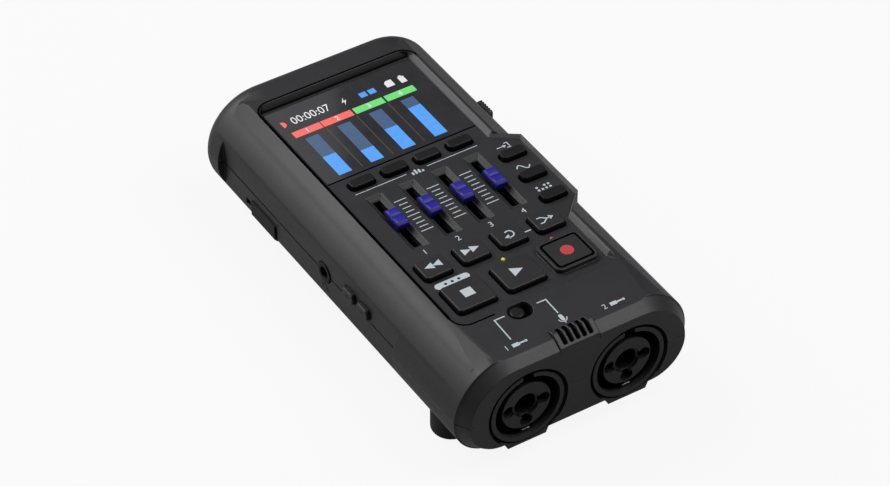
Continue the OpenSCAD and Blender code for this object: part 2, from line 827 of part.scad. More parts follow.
// Fader cap: raised ends, a groove across the middle, and a narrow foot that runs in the trough
module fader_cap(i) {
    color("#3a31a8") translate([fader_x(i), fader_y, cap_z]) difference() {
        union() {
            intersection() {
                along_x(cap_w) polygon([
                    [-cap_l / 2, 0], [-cap_l / 2 + 0.2, cap_h - 0.8], [-cap_l / 2 + 1, cap_h],
                    [-0.9, cap_h - 0.15], [-0.35, cap_h - 0.5], [0.35, cap_h - 0.5], [0.9, cap_h - 0.15],
                    [cap_l / 2 - 1, cap_h], [cap_l / 2 - 0.2, cap_h - 0.8], [cap_l / 2, 0]
                ]);
                along_y(-cap_l, cap_l) polygon([
                    [-cap_w / 2, 0], [cap_w / 2, 0], [cap_w / 2 - 0.15, cap_h - 0.5],
                    [cap_w / 2 - 0.55, cap_h], [-cap_w / 2 + 0.55, cap_h], [-cap_w / 2 + 0.15, cap_h - 0.5]
                ]);
            }
            block([-cap_foot_w / 2, -cap_foot_l / 2, floor_z - dish_d + fit - cap_z],
                  [cap_foot_w / 2, cap_foot_l / 2, cap_h / 2]);
        }
        translate([-lever_t / 2 - seat / 2, -lever_l / 2 - seat / 2, -over])
            cube([lever_t + seat, lever_l + seat, cap_h / 2 + seat / 2 + over]);
    }
}

module fader_lever_1() { fader_lever(1); }
module fader_lever_2() { fader_lever(2); }
module fader_lever_3() { fader_lever(3); }
module fader_lever_4() { fader_lever(4); }
module fader_cap_1() { fader_cap(1); }
module fader_cap_2() { fader_cap(2); }
module fader_cap_3() { fader_cap(3); }
module fader_cap_4() { fader_cap(4); }

// Key with a flange that rests under the panel and a stem over its switch
module key(x, y, w, l, h) {
    flange_z = under_z - flange_gap - flange_t;
    stem_z = keys_z + switch_h + key_travel + press_gap;
    color("#26262a") translate([x, y, 0]) {
        translate([0, 0, flange_z + flange_t / 2])
            plate(w, l, floor_z + h - flange_z - flange_t / 2, key_corner);
        translate([0, 0, flange_z]) plate(w + 2 * key_flange, l + 2 * key_flange, flange_t, key_corner);
        translate([0, 0, stem_z]) cylinder(r = stem_r, h = flange_z + flange_t / 2 - stem_z);
    }
}

module track_key(i) { key(fader_x(i), track_y, small_w, small_l, small_h); }
module track_key_1() { track_key(1); }
module track_key_2() { track_key(2); }
module track_key_3() { track_key(3); }
module track_key_4() { track_key(4); }
module menu_key(i) { key(menu_x, menu_y + (2 - i) * menu_pitch, small_w, small_l, small_h); }
module menu_key_1() { menu_key(1); }
module menu_key_2() { menu_key(2); }
module menu_key_3() { menu_key(3); }
module mid_key(i) { key((i - 1.5) * mid_pitch, mid_y, mid_w, mid_l, big_h); }
module rewind_key() { mid_key(0); }
module forward_key() { mid_key(1); }
module undo_key() { mid_key(2); }
module bounce_key() { mid_key(3); }
module stop_key() { key(-big_pitch, big_y, big_w, big_l, big_h); }
module play_key() { key(0, big_y, big_w, big_l, big_h); }
module record_key() { key(big_pitch, big_y, record_w, record_l, big_h); }

module light_pipes() {
    color("#d8e060") for (x = [0, big_pitch]) translate([x, light_y, 0]) {
        translate([0, 0, keys_z + seat]) cylinder(r = light_r, h = floor_z - keys_z);
        translate([0, 0, under_z - 1.4]) cylinder(r = light_head_r, h = 1.4 - seat);
    }
}

module source_knob() {
    body_top = under_z - flange_gap;
    round_r = 0.6;
    high = source_top_z - body_top - fit;
    color("#1f1f22") translate([source_x - source_travel / 2, source_y, 0]) {
        translate([0, 0, body_top - 1.2]) cylinder(r = source_stem_r, h = 1.6);
        translate([0, 0, body_top + fit]) rotate_extrude() {
            square([source_knob_r - round_r, high]);
            square([source_knob_r, high - round_r]);
            translate([source_knob_r - round_r, high - round_r]) intersection() {
                circle(round_r);
                square(1);
            }
        }
    }
}

module source_switch() {
    color("#3a3b3e") difference() {
        translate([source_x, source_y, under_z - flange_gap - source_body_h])
            plate(source_w + 2.4, source_l + 1.6, source_body_h, 0.4);
        translate([source_x, source_y, under_z - flange_gap - 1.6])
            plate(source_travel + 2 * source_stem_r + 2 * fit, 2 * source_stem_r + 2 * fit, over, 0.6);
    }
}

module mic_grille() {
    pitch = (grille_w - 2.2) / grille_slots;
    color("#323235") difference() {
        along_x(grille_w) grille_outline(0);
        for (i = [0:grille_slots - 1]) on_band()
            translate([(i - (grille_slots - 1) / 2) * pitch, grille_slot_up, -2 * over])
                plate(pitch - grille_bar, grille_slot_l, 4 * over, 0.3);
    }
}

module mic_capsule() {
    color("#a5a8ab") on_band() translate([0, 0, -grille_t - capsule_back - capsule_h])
        cylinder(r = capsule_r, h = capsule_h);
}

// Combination jack: round ring and socket in front, narrower tail behind
module jack_housing(s) {
    color("#17171a") translate([s * jack_pitch / 2, 0, jack_z]) difference() {
        union() {
            translate([0, front_y + ring_sink, 0]) rotate([-90, 0, 0])
                cylinder(r = ring_r, h = ring_back - ring_sink);
            intersection() {
                block([-12.4, flange_y, -9], [12.4, flange_y + flange_d, 12]);
                translate([-s * jack_pitch / 2, 0, -jack_z]) case_form(wall + fit);
            }
            translate([0, flange_y, 0]) rotate([-90, 0, 0]) cylinder(r = barrel_r, h = barrel_y - flange_y);
            translate([0, barrel_y - 1, 0]) rotate([-90, 0, 0]) cylinder(r = tail_r, h = tail_y - barrel_y + 1);
        }
        translate([0, front_y - over, 0]) rotate([-90, 0, 0]) cylinder(r = socket_r, h = socket_d + over);
        translate([0, front_y, 0]) rotate([-90, 0, 0]) cylinder(r = plug_r + 0.2, h = tail_y - front_y - 2);
        block([-1.6, front_y - over, socket_r - 2], [1.6, front_y + ring_back, ring_r + over]);
    }
}

module jack_housing_left() { jack_housing(-1); }
module jack_housing_right() { jack_housing(1); }

module pin_spots(s) {
    for (a = [180, 270, 0])
        translate([s * jack_pitch / 2 + pin_circle * cos(a), 0, jack_z + pin_circle * sin(a)])
            rotate([-90, 0, 0]) children();
}

// Insert with the plug hole, three pin holes and the shallow lead-in that joins them
module jack_insert(s) {
    face_y = front_y + insert_back;
    color("#1c1c1f") difference() {
        translate([s * jack_pitch / 2, face_y, jack_z]) rotate([-90, 0, 0])
            cylinder(r = insert_r, h = socket_d - insert_back - seat / 2);
        translate([s * jack_pitch / 2, face_y - over, jack_z]) rotate([-90, 0, 0])
            cylinder(r = plug_r, h = socket_d + 2 * over);
        translate([s * jack_pitch / 2, face_y - over, jack_z]) rotate([-90, 0, 0])
            cylinder(r = plug_r + 0.7, h = over + 0.8);
        pin_spots(s) {
            translate([0, 0, face_y - over]) cylinder(r = pin_r, h = over + 11);
            translate([0, 0, face_y - over]) cylinder(r = pin_r + 0.4, h = over + 0.8);
        }
    }
}

module jack_insert_left() { jack_insert(-1); }
module jack_insert_right() { jack_insert(1); }

module pin_contacts() {
    color("#c9b46a") for (s = [-1, 1]) pin_spots(s) translate([0, 0, front_y + insert_back + 3]) difference() {
        cylinder(r = pin_r - 0.05, h = 7.8);
        translate([0, 0, -over]) cylinder(r = pin_r - 0.35, h = 8);
    }
}

module headphone_jack() {
    reach = 12;
    color("#1b1b1e") translate([-flat_x, phone_y, part_z]) difference() {
        union() {
            translate([-0.3, 0, 0]) rotate([0, 90, 0]) cylinder(r = phone_collar_r, h = wall + 1.5);
            block([wall + seat, -3.4, -3.2], [wall + reach, 3.4, board_z - part_z - seat]);
        }
        translate([-over, 0, 0]) rotate([0, 90, 0]) cylinder(r = phone_r, h = wall + reach + 2 * over);
    }
}

// Key in the left side, with a flange behind the wall
module volume_key(y) {
    color("#26262a") translate([0, y, volume_z]) {
        translate([-flat_x - volume_out, 0, 0]) rotate([90, 0, 90])
            plate(volume_w, volume_h, flat_x + volume_out - volume_seat_x() - 0.3, key_corner);
        translate([-volume_seat_x() - flange_t, 0, 0]) rotate([90, 0, 90])
            plate(volume_w + 1.4, volume_h + 0.8, flange_t, key_corner);
    }
}

module volume_up_key() { volume_key(volume_y[0]); }
module volume_down_key() { volume_key(volume_y[1]); }

module power_knob() {
    color("#232327") translate([0, power_y, power_z]) {
        difference() {
            translate([flat_x + seat, 0, 0]) rotate([90, 0, 90]) plate(power_w, power_h, power_out, 0.8);
            for (i = [-2:2]) translate([flat_x + seat + power_out, i, 0])
                cube([0.5, 0.4, power_h + over], center = true);
        }
        translate([inner_x - 1.2, 0, 0]) rotate([90, 0, 90]) plate(neck_w, neck_h, wall + 1.6, 0.3);
    }
}

module power_switch() {
    color("#7d8084") block(
        [inner_x - 1.2 - fit - 4, power_y - 5, board_z + board_t],
        [inner_x - 1.2 - fit, power_y + 5, board_z + board_t + 3]
    );
}

module usb_port() {
    depth = 7.6;
    color("#b9bcbf") translate([flat_x - 0.4 - depth, usb_y, usb_z]) rotate([90, 0, 90]) {
        difference() {
            plate(usb_w, usb_h, depth, usb_h / 2 - 0.01);
            translate([0, 0, 1])
                plate(usb_w - 2 * usb_skin, usb_h - 2 * usb_skin, depth, usb_h / 2 - usb_skin - 0.01);
        }
        translate([0, 0, 0.5]) translate([-3.3, -0.35, 0]) cube([6.6, 0.7, depth - 1.5]);
    }
}

module card_slot() {
    reach = card_reach;
    color("#a9acaf") difference() {
        block([-inner_x + 0.6, card_y - card_w / 2, card_slot_z],
              [-inner_x + 0.6 + reach, card_y + card_w / 2, card_slot_z + 1.9]);
        block([-case_w / 2, card_y - 5.6, card_slot_z + 0.5],
              [-inner_x + reach - 1, card_y + 5.6, card_slot_z + 1.4]);
    }
}

module cells() {
    nub_l = 1;
    color("#b8862e") for (s = [-1, 1]) translate([s * cell_x, cell_y, cell_z]) rotate([s * 90, 0, 0]) {
        translate([0, 0, -cell_l / 2]) cylinder(d = cell_d, h = cell_l - nub_l);
        translate([0, 0, cell_l / 2 - nub_l - seat]) cylinder(r = 2.7, h = nub_l + seat);
    }
}

module cell_contacts() {
    color("#c8cacc") for (x = [-1, 1], y = [-1, 1])
        translate([x * cell_x, cell_y + y * (cell_l / 2 + seat + contact_t / 2), cell_z])
            cube([contact_w, contact_t, contact_h], center = true);
}

module feet() {
    color("#141416") for (s = [-1, 1], p = [front_foot, rear_foot]) difference() {
        translate([s * p[0], p[1], 0]) rotate_extrude() {
            square([foot_r - foot_round, foot_h + belly_r / 2]);
            translate([0, foot_round]) square([foot_r, foot_h + belly_r / 2 - foot_round]);
            translate([foot_r - foot_round, foot_round]) intersection() {
                circle(foot_round);
                translate([0, -foot_round]) square(foot_round);
            }
        }
        case_form(-seat);
    }
}

module case_screws() {
    color("#55585c") for (p = screw_spots) translate([p[0], p[1], foot_h + 1.2]) difference() {
        union() {
            cylinder(r = screw_head_r, h = screw_head_t);
            cylinder(r = screw_r, h = screw_l);
        }
        for (a = [0, 90]) rotate([0, 0, a]) cube([2.6, 0.6, 1.6], center = true);
    }
}

upper_case();
lower_case();
battery_door();
card_cover();
display_lens();
lcd_module();
main_board();
key_board();
key_switches();
fader_pots();
fader_lever_1();
fader_lever_2();
fader_lever_3();
fader_lever_4();
fader_cap_1();
fader_cap_2();
fader_cap_3();
fader_cap_4();
track_key_1();
track_key_2();
track_key_3();
track_key_4();
menu_key_1();
menu_key_2();
menu_key_3();
rewind_key();
forward_key();
undo_key();
bounce_key();
stop_key();
play_key();
record_key();
light_pipes();
source_knob();
source_switch();
mic_grille();
mic_capsule();
jack_housing_left();
jack_housing_right();
jack_insert_left();
jack_insert_right();
pin_contacts();
headphone_jack();
volume_up_key();
volume_down_key();
power_knob();
power_switch();
usb_port();
card_slot();
cells();
cell_contacts();
feet();
case_screws();
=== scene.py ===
"""Looks of the handheld recorder.

Finishes for the solids, printed marks, the lit screen, camera, light and floor.
"""
import json
import math

import bmesh
import bpy
from mathutils import Matrix, Vector


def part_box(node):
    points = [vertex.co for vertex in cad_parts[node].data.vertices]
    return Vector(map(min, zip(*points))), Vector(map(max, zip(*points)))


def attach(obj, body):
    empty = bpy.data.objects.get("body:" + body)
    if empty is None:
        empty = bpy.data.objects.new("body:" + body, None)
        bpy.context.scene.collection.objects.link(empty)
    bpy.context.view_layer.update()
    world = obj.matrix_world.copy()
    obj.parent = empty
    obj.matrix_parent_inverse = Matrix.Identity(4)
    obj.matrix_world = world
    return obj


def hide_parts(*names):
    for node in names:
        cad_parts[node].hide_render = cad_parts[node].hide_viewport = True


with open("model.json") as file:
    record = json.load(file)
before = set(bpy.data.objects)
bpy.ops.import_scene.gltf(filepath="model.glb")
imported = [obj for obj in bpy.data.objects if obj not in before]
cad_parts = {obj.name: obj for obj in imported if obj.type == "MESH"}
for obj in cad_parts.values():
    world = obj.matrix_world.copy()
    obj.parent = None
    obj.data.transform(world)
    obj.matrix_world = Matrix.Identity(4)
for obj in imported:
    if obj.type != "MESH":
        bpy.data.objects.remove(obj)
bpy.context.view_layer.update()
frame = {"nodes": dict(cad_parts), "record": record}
MM = 0.001

# Places on the part, in millimetres
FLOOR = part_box("display_lens")[1].z / MM
CREST = FLOOR + 1.7
RAMP_Y = -43.6
RAMP_L = 6.0
RECESS_FRONT = -48.2
FRONT_EDGE = -63.2
FRONT_DROP = 0.7
FRONT_Y = -67.0
BAND_RISE = 2.25
BAND_RUN = 3.8
SIDE_X = 33.6
SEAM_Z = 18.5
JACKS = (("left", -15.5), ("right", 15.5))
JACK_Z = 17.3
FADER_X = (-15.3, -5.1, 5.1, 15.3)
FADER_GAP_X = (-10.2, 0.0, 10.2)
MENU_ICON_X = 24.8
RECORD_X = 15.2
LIGHT_ROW_Y = -30.85

# Centres and radius of the corners of the painted shade line round the sunken panel
CORNER_X = 20.5
CORNER_REAR_Y = 51.2
CORNER_FRONT_Y = -44.2
CORNER_R = 4.4
EDGE_X = CORNER_X + CORNER_R

# Nodes that are dressed alike
MAIN_KEYS = (
    "stop_key", "play_key", "record_key", "rewind_key", "forward_key", "undo_key", "bounce_key",
)
ROW_KEYS = (
    *(f"track_key_{i}" for i in range(1, 5)),
    *(f"menu_key_{i}" for i in range(1, 4)),
)
SIDE_CONTROLS = ("volume_up_key", "volume_down_key", "power_knob")
JACK_NODES = ("jack_housing_left", "jack_housing_right", "jack_insert_left", "jack_insert_right")


def crest_height(y):
    """Height of the case's top at y: level, then falling a little to the front edge."""
    return CREST - FRONT_DROP * max(RAMP_Y - y, 0.0) / (RAMP_Y - FRONT_EDGE)


def panel_height(y):
    """Height of the printed top at y: the sunken floor, its rise in front, or the slope beyond."""
    if y > RAMP_Y:
        return FLOOR
    if y > RECESS_FRONT:
        return FLOOR + (CREST - FLOOR) * (RAMP_Y - y) / RAMP_L
    return crest_height(y)


def middle(name):
    """Centre of a solid's box, in millimetres."""
    low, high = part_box(name)
    return (low + high) / 2 / MM


# Finishes

TEXTURE_LOW = 0.3
TEXTURE_HIGH = 0.7
DRIFT_MM = 9
GRAIN_DEPTH = 0.02


def node(tree, kind, **values):
    made = tree.nodes.new(kind)
    for name, value in values.items():
        setattr(made, name, value)
    return made


def finish(name, colour, roughness, metallic=0.0, specular=0.5):
    """A new material and the parts of its node tree that the finishes add to."""
    mat = bpy.data.materials.new(name)
    mat.use_nodes = True
    tree = mat.node_tree
    shader = tree.nodes["Principled BSDF"]
    shader.inputs["Base Color"].default_value = (*colour, 1.0)
    shader.inputs["Roughness"].default_value = roughness
    shader.inputs["Metallic"].default_value = metallic
    shader.inputs["Specular IOR Level"].default_value = specular
    place = node(tree, "ShaderNodeTexCoord")
    return mat, tree, shader, place.outputs["Object"]


def noise(tree, place, size_mm, detail=2.0):
    """Even noise with patches of about the given size."""
    grain = node(tree, "ShaderNodeTexNoise")
    grain.inputs["Scale"].default_value = 1 / (size_mm * MM)
    grain.inputs["Detail"].default_value = detail
    tree.links.new(place, grain.inputs["Vector"])
    return grain.outputs["Fac"]


def spread(tree, value, low, high):
    """Maps a texture's middle range onto low to high."""
    part = node(tree, "ShaderNodeMapRange")
    part.inputs["From Min"].default_value = TEXTURE_LOW
    part.inputs["From Max"].default_value = TEXTURE_HIGH
    part.inputs["To Min"].default_value = low
    part.inputs["To Max"].default_value = high
    tree.links.new(value, part.inputs["Value"])
    return part.outputs["Result"]


def tint(tree, value, dark, pale):
    """Goes from the colour dark to the colour pale over a texture's middle range."""
    ramp = node(tree, "ShaderNodeValToRGB")
    ramp.color_ramp.elements[0].position = TEXTURE_LOW
    ramp.color_ramp.elements[1].position = TEXTURE_HIGH
    ramp.color_ramp.elements[0].color = (*dark, 1.0)
    ramp.color_ramp.elements[1].color = (*pale, 1.0)
    tree.links.new(value, ramp.inputs["Fac"])
    return ramp.outputs["Color"]


def relief(tree, shader, value, strength, edge_mm=0.0):
    """Raised grain, over edges that are softened by the given radius."""
    bump = node(tree, "ShaderNodeBump")
    if edge_mm:
        soft = node(tree, "ShaderNodeBevel")
        soft.samples = 8
        soft.inputs["Radius"].default_value = edge_mm * MM
        tree.links.new(soft.outputs["Normal"], bump.inputs["Normal"])
    bump.inputs["Strength"].default_value = strength
    bump.inputs["Distance"].default_value = GRAIN_DEPTH * MM
    tree.links.new(value, bump.inputs["Height"])
    tree.links.new(bump.outputs["Normal"], shader.inputs["Normal"])


def along_axis(tree, place, axis):
    parts = node(tree, "ShaderNodeSeparateXYZ")
    tree.links.new(place, parts.inputs["Vector"])
    return parts.outputs[axis]


def rising(tree, place, low, high, axis="Z"):
    """Grows from 0 at low to 1 at high along an axis, in millimetres."""
    ramp = node(tree, "ShaderNodeMapRange")
    ramp.inputs["From Min"].default_value = low * MM
    ramp.inputs["From Max"].default_value = high * MM
    tree.links.new(along_axis(tree, place, axis), ramp.inputs["Value"])
    return ramp.outputs["Result"]


def feed(tree, value, socket):
    """Gives an input a colour, or links it to another node's output."""
    if isinstance(value, tuple):
        socket.default_value = (*value, 1.0)
    else:
        tree.links.new(value, socket)


def blend(tree, factor, start, end):
    """Goes from start to end by a factor. Each of the two is a colour or a node's output."""
    shade = node(tree, "ShaderNodeMix", data_type="RGBA")
    tree.links.new(factor, shade.inputs["Factor"])
    feed(tree, start, shade.inputs["A"])
    feed(tree, end, shade.inputs["B"])
    return shade.outputs["Result"]


def moulded(
    name, dark, pale, roughness, grain_mm=0.22, strength=0.35, specular=0.5, edge_mm=0.0, lower_shade=None
):
    """Moulded plastic with a fine grain, and painted shade on its sides below the face if one is
    given.
    """
    mat, tree, shader, place = finish(name, pale, roughness, specular=specular)
    drift = noise(tree, place, DRIFT_MM, 3.0)
    grain = noise(tree, place, grain_mm)
    colour = tint(tree, drift, dark, pale)
    # Painted shade: darker towards the bottom of the sides, fully dark below the lower height
    if lower_shade:
        low, high, shade_colour = lower_shade
        colour = blend(tree, rising(tree, place, low, high), shade_colour, colour)
    tree.links.new(colour, shader.inputs["Base Color"])
    varied = spread(tree, grain, roughness - 0.06, roughness + 0.08)
    tree.links.new(varied, shader.inputs["Roughness"])
    relief(tree, shader, grain, strength, edge_mm)
    return mat


def in_bands(tree, place, bands):
    """1 where every (direction, low, high) band holds the place, and 0 elsewhere.

    A band holds a place whose dot product with the direction is from low to high, in millimetres.
    """
    inside = None
    for direction, low, high in bands:
        along = node(tree, "ShaderNodeVectorMath", operation="DOT_PRODUCT")
        tree.links.new(place, along.inputs[0])
        along.inputs[1].default_value = direction
        within = node(tree, "ShaderNodeMath", operation="COMPARE")
        tree.links.new(along.outputs["Value"], within.inputs[0])
        within.inputs[1].default_value = (low + high) / 2 * MM
        within.inputs[2].default_value = (high - low) / 2 * MM
        if inside is None:
            inside = within.outputs["Value"]
        else:
            both = node(tree, "ShaderNodeMath", operation="MULTIPLY")
            tree.links.new(inside, both.inputs[0])
            tree.links.new(within.outputs["Value"], both.inputs[1])
            inside = both.outputs["Value"]
    return inside


def painted_light_regions():
    """The case's painted light, each as a colour and its bands: a painted highlight on the panel's
    side walls and the shelf's rim, and painted shade in the openings.
    """
    across, along, up = (1, 0, 0), (0, 1, 0), (0, 0, 1)
    front_slant, rear_slant = (-1, 1, 0), (0.7, 1, 0)
    # pale is a painted highlight on the side walls and the shelf's rim; black is painted shade in
    # the openings
    pale, black = (0.085, 0.085, 0.087), (0.0008, 0.0008, 0.0008)
    wall_foot, wall_top, shelf_top = FLOOR + 0.08, CREST - 0.06, FLOOR + 1.05
    wall_inner, wall_outer, shelf_outer = 23.45, 24.56, 30.9
    wall = ((along, -44, 53.8), (up, wall_foot, wall_top))
    shelf = (
        (across, wall_outer, shelf_outer),
        (front_slant, -50.3, 0),
        (rear_slant, -20, 29.6),
        (up, wall_foot, shelf_top),
    )
    # Painted shade: the case's insides under the panel, seen through its openings, are made black
    openings = ((across, -23, 23), (along, -44, 50), (up, FLOOR - 12, FLOOR - 1.12))
    return (
        (pale, ((across, -wall_outer, -wall_inner), *wall)),
        (pale, ((across, wall_inner, wall_outer), *wall)),
        (pale, shelf),
        (black, openings),
    )


def case_finish():
    """The case's grained plastic, with a painted highlight on the panel's side walls and the
    shelf's rim, and painted shade that makes it black in its openings.
    """
    mat = moulded(
        "charcoal_case", (0.0085, 0.0085, 0.0096), (0.011, 0.011, 0.0124), 0.50,
        specular=0.3, edge_mm=0.4,
    )
    tree = mat.node_tree
    shader = tree.nodes["Principled BSDF"]
    place = node(tree, "ShaderNodeTexCoord").outputs["Object"]
    colour = shader.inputs["Base Color"].links[0].from_socket
    for painted_colour, bands in painted_light_regions():
        outside = node(tree, "ShaderNodeMath", operation="SUBTRACT")
        outside.inputs[0].default_value = 1.0
        tree.links.new(in_bands(tree, place, bands), outside.inputs[1])
        colour = blend(tree, outside.outputs["Value"], painted_colour, colour)
    tree.links.new(colour, shader.inputs["Base Color"])
    return mat


def plated(name, dark, pale, roughness):
    """Bare or plated metal with fine handling marks."""
    mat, tree, shader, place = finish(name, pale, roughness, metallic=1.0)
    wear = noise(tree, place, 0.8, 4.0)
    tree.links.new(tint(tree, wear, dark, pale), shader.inputs["Base Color"])
    varied = spread(tree, wear, roughness - 0.08, roughness + 0.1)
    tree.links.new(varied, shader.inputs["Roughness"])
    return mat


def ink(name, colour):
    """Printed paint, slightly uneven."""
    mat, tree, shader, place = finish(name, colour, 0.55)
    speck = noise(tree, place, 0.12)
    worn = tuple(0.86 * c for c in colour)
    tree.links.new(tint(tree, speck, worn, colour), shader.inputs["Base Color"])
    return mat


def lit(name, colour):
    """Glossy lit area, faintly uneven, for the screen's picture and the play light's heart."""
    mat, tree, shader, place = finish(name, (0.006, 0.006, 0.006), 0.14, specular=0.4)
    patch = noise(tree, place, 1.2)
    dim = tuple(0.9 * c for c in colour)
    tree.links.new(tint(tree, patch, dim, colour), shader.inputs["Emission Color"])
    shader.inputs["Emission Strength"].default_value = 1.0
    return mat


def socket_finish():
    """Moulded dark grey in front, with painted shade that makes it black inside the sockets and
    holes.
    """
    mat, tree, shader, place = finish(
        "jack_moulding", (0.010, 0.010, 0.011), 0.5, specular=0.25
    )
    grain = noise(tree, place, 0.25)
    front = tint(tree, grain, (0.0085, 0.0085, 0.0095), (0.012, 0.012, 0.013))
    # Painted shade: black from a little way in behind the front face
    inner_shade = rising(tree, place, FRONT_Y + 1.1, FRONT_Y + 2.0, "Y")
    colour = blend(tree, inner_shade, front, (0.001, 0.001, 0.001))
    tree.links.new(colour, shader.inputs["Base Color"])
    tree.links.new(spread(tree, grain, 0.46, 0.58), shader.inputs["Roughness"])
    relief(tree, shader, grain, 0.25)
    return mat


def glass_finish():
    """The glossy window over the display, faintly smeared."""
    mat, tree, shader, place = finish(
        "screen_window", (0.018, 0.018, 0.0205), 0.06, specular=0.4
    )
    smear = noise(tree, place, 6, 3.0)
    colour = tint(tree, smear, (0.015, 0.015, 0.0175), (0.020, 0.020, 0.0225))
    tree.links.new(colour, shader.inputs["Base Color"])
    tree.links.new(spread(tree, smear, 0.05, 0.08), shader.inputs["Roughness"])
    return mat


def indicator_finish():
    """One finish for both indicator lights: yellow-green at the middle, red to the right."""
    mat, tree, shader, place = finish("indicators", (0.5, 0.6, 0.05), 0.25)
    right = node(tree, "ShaderNodeMath", operation="GREATER_THAN")
    right.inputs[1].default_value = 7 * MM
    tree.links.new(along_axis(tree, place, "X"), right.inputs[0])
    shade = tint(tree, right.outputs["Value"], (0.24, 0.27, 0.012), (0.34, 0.035, 0.025))
    tree.links.new(shade, shader.inputs["Base Color"])
    tree.links.new(shade, shader.inputs["Emission Color"])
    shader.inputs["Emission Strength"].default_value = 0.5
    return mat


# Each painted shade on the lower sides of keys and caps: the heights between which its colour gives
# way to the face's, and its colour
KEY_LOWER_SHADE = (FLOOR + 0.75, FLOOR + 1.3, (0.001, 0.001, 0.001))
CAP_LOWER_SHADE = (FLOOR + 1.0, FLOOR + 2.2, (0.002, 0.002, 0.06))

CASE = case_finish()
KEYS = moulded(
    "dark_keys", (0.0085, 0.0085, 0.0093), (0.011, 0.011, 0.012), 0.50,
    grain_mm=0.16, strength=0.2, specular=0.25, lower_shade=KEY_LOWER_SHADE,
)
SMALL_KEYS = moulded(
    "small_keys", (0.004, 0.004, 0.0045), (0.006, 0.006, 0.0067), 0.46,
    grain_mm=0.16, strength=0.2, specular=0.15, lower_shade=KEY_LOWER_SHADE,
)
CAPS = moulded(
    "violet_caps", (0.010, 0.009, 0.15), (0.013, 0.0115, 0.19), 0.40,
    grain_mm=0.14, strength=0.2, specular=0.2, lower_shade=CAP_LOWER_SHADE,
)
SIDE_KEYS = moulded(
    "side_keys", (0.0065, 0.0065, 0.0073), (0.0085, 0.0085, 0.0095), 0.50,
    specular=0.3, edge_mm=0.25,
)
SOCKET = socket_finish()
JACK = moulded(
    "black_moulding", (0.002, 0.002, 0.002), (0.004, 0.004, 0.004), 0.5,
    grain_mm=0.3, strength=0.2, specular=0.12,
)
FEET = moulded(
    "foot_rubber", (0.007, 0.007, 0.0075), (0.010, 0.010, 0.011), 0.7,
    grain_mm=0.4, strength=0.5, specular=0.25,
)
# Near black for the seams, the slabs behind the grille and the line in front of the window, and for
# painted shade round the keys, the sockets and the panel's edge
BLACK = moulded(
    "flat_black_and_painted_shade", (0.0005, 0.0005, 0.0005), (0.001, 0.001, 0.001), 0.85,
    grain_mm=0.5, strength=0.6, specular=0.0,
)
COVER = moulded(
    "cover_rubber", (0.004, 0.004, 0.0045), (0.006, 0.006, 0.0065), 0.6,
    grain_mm=0.3, strength=0.3, specular=0.2,
)
BOARD = moulded(
    "solder_mask", (0.008, 0.06, 0.02), (0.015, 0.10, 0.035), 0.35,
    grain_mm=0.6, strength=0.2,
)
SWITCH = moulded("switch_bodies", (0.14, 0.15, 0.16), (0.19, 0.20, 0.21), 0.5)
WRAP = moulded(
    "cell_wrap", (0.42, 0.25, 0.06), (0.52, 0.32, 0.09), 0.3,
    grain_mm=0.5, strength=0.1,
)
METAL = plated("plain_metal", (0.50, 0.51, 0.52), (0.66, 0.67, 0.68), 0.3)
BRASS = plated("contact_brass", (0.55, 0.45, 0.20), (0.75, 0.64, 0.34), 0.28)
STEEL = plated("screw_steel", (0.16, 0.16, 0.17), (0.28, 0.28, 0.30), 0.35)
PRINT = ink("pale_print", (0.31, 0.35, 0.375))
RED_DOT = ink("record_red", (0.30, 0.022, 0.026))
GLASS = glass_finish()
WHITE_LIT = lit("screen_white", (0.82, 0.82, 0.84))
RED_LIT = lit("screen_red", (1.0, 0.16, 0.135))
GREEN_LIT = lit("screen_green", (0.18, 0.78, 0.21))
BLUE_LIT = lit("screen_blue", (0.10, 0.385, 1.0))
DIM_BLUE = lit("screen_dim_blue", (0.062, 0.122, 0.235))
FAINT_LIT = lit("screen_faint", (0.07, 0.065, 0.06))
LIGHTS = indicator_finish()
LIGHT_CORE = lit("indicator_core", (0.75, 0.78, 0.16))

# Dressing of the solids

SHARP_ANGLE = math.radians(30)
FLAT_ANGLE = math.radians(0.5)
MERGE_MM = 0.0005
body_of = {n: b for b, nodes in frame["record"]["behaviour"]["bodies"].items() for n in nodes}


def merged_copy(name, joined):
    """A copy of a solid's mesh with its sharp edges marked, and its flat faces joined if asked."""
    shaped = bmesh.new()
    shaped.from_mesh(frame["nodes"][name].data)
    bmesh.ops.remove_doubles(shaped, verts=shaped.verts, dist=MERGE_MM * MM)
    if joined:
        bmesh.ops.dissolve_limit(
            shaped, angle_limit=FLAT_ANGLE, use_dissolve_boundaries=False,
            verts=shaped.verts, edges=shaped.edges,
        )
    for face in shaped.faces:
        face.smooth = True
    for side in shaped.edges:
        side.smooth = len(side.link_faces) == 2 and side.calc_face_angle() < SHARP_ANGLE
    return shaped


def dress(name, mat, edge_mm=0.0, segments=3, joined=True):
    """Shows a merged, smooth copy of a solid in its place, with edges rounded by edge_mm."""
    shaped = merged_copy(name, joined)
    mesh = bpy.data.meshes.new(f"{name}_dressed")
    shaped.to_mesh(mesh)
    shaped.free()
    mesh.materials.append(mat)
    piece = bpy.data.objects.new(f"{name}_dressed", mesh)
    bpy.context.scene.collection.objects.link(piece)
    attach(piece, body_of[name])
    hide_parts(name)
    if edge_mm:
        rounding = piece.modifiers.new("edges", "BEVEL")
        rounding.width = edge_mm * MM
        rounding.segments = segments
        rounding.limit_method = "ANGLE"
        rounding.angle_limit = SHARP_ANGLE
        rounding.harden_normals = False
    return piece


def even_shading(piece):
    """Lets the large flat faces set the shading along soft edges."""
    even = piece.modifiers.new("even_shading", "WEIGHTED_NORMAL")
    even.weight = 60
    even.keep_sharp = True


